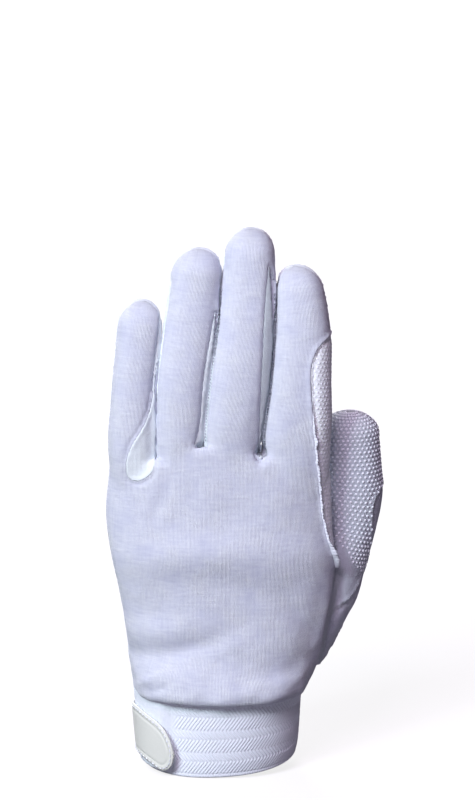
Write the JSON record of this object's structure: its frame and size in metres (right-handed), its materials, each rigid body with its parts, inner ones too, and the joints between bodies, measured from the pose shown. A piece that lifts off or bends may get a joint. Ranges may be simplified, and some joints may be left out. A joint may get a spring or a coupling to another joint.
{
  "type": "cotton grip glove",
  "caption": "Left-hand cotton work glove with a plain knit back, dotted grip palm, forked finger strips and an elastic wristband closed by a hook-and-loop tab.",
  "frame": {"origin": "middle of the wrist opening, at the height of the band's hem at the sides", "axes": "+Z towards the fingertips, -Y the way the back of the hand faces, +Y the palm, +X towards the thumb"},
  "size_m": [0.1162, 0.0608, 0.2313],
  "materials": {
    "plain_knit": "bright white fine cotton jersey with upright wales",
    "dotted_knit": "white cotton jersey under a field of small raised dots",
    "strip_knit": "white cotton jersey, a little greyer, between the fingers",
    "band_elastic": "white woven elastic with herringbone ribs",
    "loop_patch": "smooth white brushed loop fabric",
    "tab_vinyl": "smooth pale warm grey vinyl with a stitched edge",
    "grip_dots": "small domed white grip dots, soft sheen",
    "thread": "white cotton sewing thread"
  },
  "bodies": {
    "root": {"back_panel": "plain_knit", "palm_panel": "dotted_knit", "strip_little_ring": "strip_knit", "strip_ring_middle": "strip_knit", "strip_middle_index": "strip_knit", "side_strip": "dotted_knit", "thumb_front": "dotted_knit", "thumb_outer": "plain_knit", "wrist_band": "band_elastic", "loop_patch": "loop_patch", "closing_tab": "tab_vinyl"}
  },
  "joints": []
}
